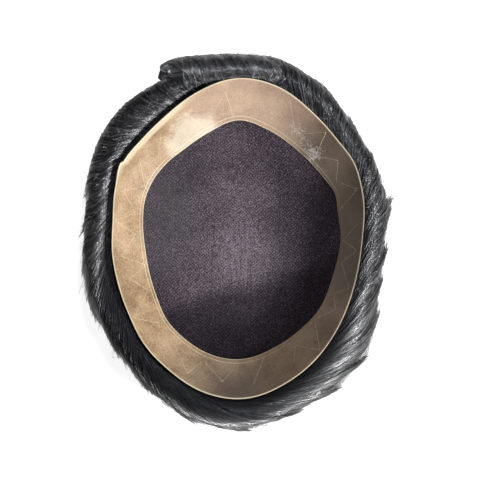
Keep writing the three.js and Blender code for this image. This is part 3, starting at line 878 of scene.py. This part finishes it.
def curl_windings(count, points=16):
    """Strands that come out from under the wraps, turn round the curl's end and lie back along it."""
    grown = np.linspace(0, 1, points)[None, :]
    tilt = np.radians(rng.uniform(-45, 88, count))[:, None]
    out = np.clip(grown / 0.4, 0, 1)
    back = np.clip((grown - 0.8) / 0.2, 0, 1)
    share = CURL_TURN - (CURL_TURN - 0.55) * (1 - out) - (CURL_TURN - 0.7) * back
    middle, radius = curl_line(share)
    along = unit(curl_line(share + 0.03)[0] - curl_line(share - 0.03)[0])
    side = unit(np.cross(along, [0, 0, 1]))
    turn = np.pi * np.clip((grown - 0.4) / 0.4, 0, 1)
    size = (radius + rng.uniform(-0.6, 0.4, count)[:, None])[..., None]
    flat = np.cos(tilt)[..., None]
    round_end = side * np.cos(turn)[..., None] + along * np.sin(turn)[..., None]
    paths = middle + size * (flat * round_end + np.sin(tilt)[..., None] * np.array([0, 0, 1]))
    return paths, grown, glossed(np.degrees(tilt), 5)


def curl_strays(count, points=12):
    """A few light hairs that lie over the wraps and cross them the other way."""
    grown = np.linspace(0, 1, points)[None, :]
    start = rng.uniform(0.15, 0.85, count)[:, None]
    along = np.clip(start - rng.uniform(-0.12, 0.16, count)[:, None] * grown, 0, 0.95)
    turn = 165 - rng.uniform(60, 150, count)[:, None] * grown - rng.uniform(0, 40, count)[:, None]
    return curl_surface(along, turn, 1.3 + 0.6 * np.sin(np.pi * grown) + 0 * along), grown, 1


def curl_strands(wraps, windings, strays):
    made = []
    for paths, grown, shine in (curl_wraps(wraps), curl_windings(windings)):
        radii = np.repeat(tapered(grown), len(paths), axis=0)
        made.append((paths, radii, rng.beta(1.5, 2.6, len(paths))[:, None], shine))
    paths, grown, shine = curl_strays(strays)
    radii = np.repeat(tapered(grown), strays, axis=0) * 0.6
    made.append((paths, radii, rng.uniform(0.7, 1, strays)[:, None], shine))
    return made


FLYAWAY_RADIUS = 0.09


def flyaways(count, points=8):
    """Loose fine hairs that leave the locks' outline."""
    tip = rng.uniform(0, 360, count)
    grown = np.linspace(0, 1, points)[None, :]
    share = 0.5 + rng.uniform(0.25, 0.45, count)[:, None] * grown
    wander = rng.normal(0, 4, count)[:, None] * grown**1.5
    azimuth, at = rim_flow(tip[:, None] + wander, share)
    off = LOCK_RISE * 0.6 + rng.gamma(2.0, 0.8, count)[:, None] * grown**1.5
    tone = rng.uniform(0.5, 1, count)[:, None]
    return tubes("flyaways", hair_surface(azimuth, at, off), FLYAWAY_RADIUS + 0 * share, tone, 0.5)


bed_finish = hair_finish("hair_bed", True)
strand_finish = hair_finish("hair_strands", False)

keep("rim_bed", sheet("rim_bed", 480, 40, lay_rim_bed), bed_finish, ["rim_hair"])
keep("crown_bed", sheet("crown_bed", 240, 40, lay_crown_bed), bed_finish, ["crown_hair"])
keep("curl_bed", sheet("curl_bed", 48, 48, lay_curl_bed), bed_finish, ["front_curl"])
keep("rim_strands", rim_strands("rim_strands", 3900 // few), strand_finish)
keep("rim_strands_over", rim_strands("rim_strands_over", 3900 // few), strand_finish)
keep("crown_strands", crown_strands(4800 // few), strand_finish)
curl_parts = zip(("wraps", "windings", "strays"), curl_strands(2000 // few, 700 // few, 8))
for part, strands in curl_parts:
    keep("curl_" + part, tubes("curl_" + part, *strands), strand_finish)
keep("flyaways", flyaways(700 // few), strand_finish)


# ---- The surface it lies on, light and camera ----

def floor():
    bm = bmesh.new()
    bmesh.ops.create_grid(bm, x_segments=1, y_segments=1, size=3)
    mesh = bpy.data.meshes.new("floor")
    bm.to_mesh(mesh)
    bm.free()
    finish = Finish("floor", Base_Color=(0.37, 0.37, 0.37, 1), Roughness=0.9)
    finish.shader.inputs["Emission Color"].default_value = (1, 1, 1, 1)
    finish.shader.inputs["Emission Strength"].default_value = 0.9
    plane = bpy.data.objects.new("floor", mesh)
    bpy.context.scene.collection.objects.link(plane)
    mesh.materials.append(finish.material)


def light(name, azimuth, elevation, distance, size, power, colour=(1, 1, 1)):
    lamp = bpy.data.lights.new(name, "AREA")
    lamp.shape = "DISK"
    lamp.size = size
    lamp.energy = power
    lamp.color = colour
    turn = math.radians(azimuth)
    rise = math.radians(elevation)
    away = Vector((math.cos(turn) * math.cos(rise), math.sin(turn) * math.cos(rise), math.sin(rise)))
    holder = bpy.data.objects.new(name, lamp)
    holder.location = away * distance + Vector((0, 0, 0.05))
    holder.rotation_euler = away.to_track_quat("Z", "Y").to_euler()
    bpy.context.scene.collection.objects.link(holder)


floor()
light("window", -31, 39, 1.6, 0.36, 55)
light("ceiling", 72, 74, 1.6, 0.24, 18, (0.92, 0.95, 1))

world = bpy.data.worlds.new("room")
world.use_nodes = True
world.node_tree.nodes["Background"].inputs["Color"].default_value = (1, 1, 1, 1)
world.node_tree.nodes["Background"].inputs["Strength"].default_value = 0.1
bpy.context.scene.world = world
bpy.context.scene.view_settings.view_transform = "Standard"

CAMERA_HEIGHT = 2.05
RIM_HEIGHT = 0.06
FRAME_WIDTH = 0.350  # what the picture takes in across, at the height of the rim
SENSOR = 36

camera = bpy.data.cameras.new("camera")
camera.sensor_width = SENSOR
camera.lens = SENSOR * (CAMERA_HEIGHT - RIM_HEIGHT) / FRAME_WIDTH
holder = bpy.data.objects.new("camera", camera)
holder.location = (0.0084, -0.00805, CAMERA_HEIGHT)
bpy.context.scene.collection.objects.link(holder)
bpy.context.scene.camera = holder
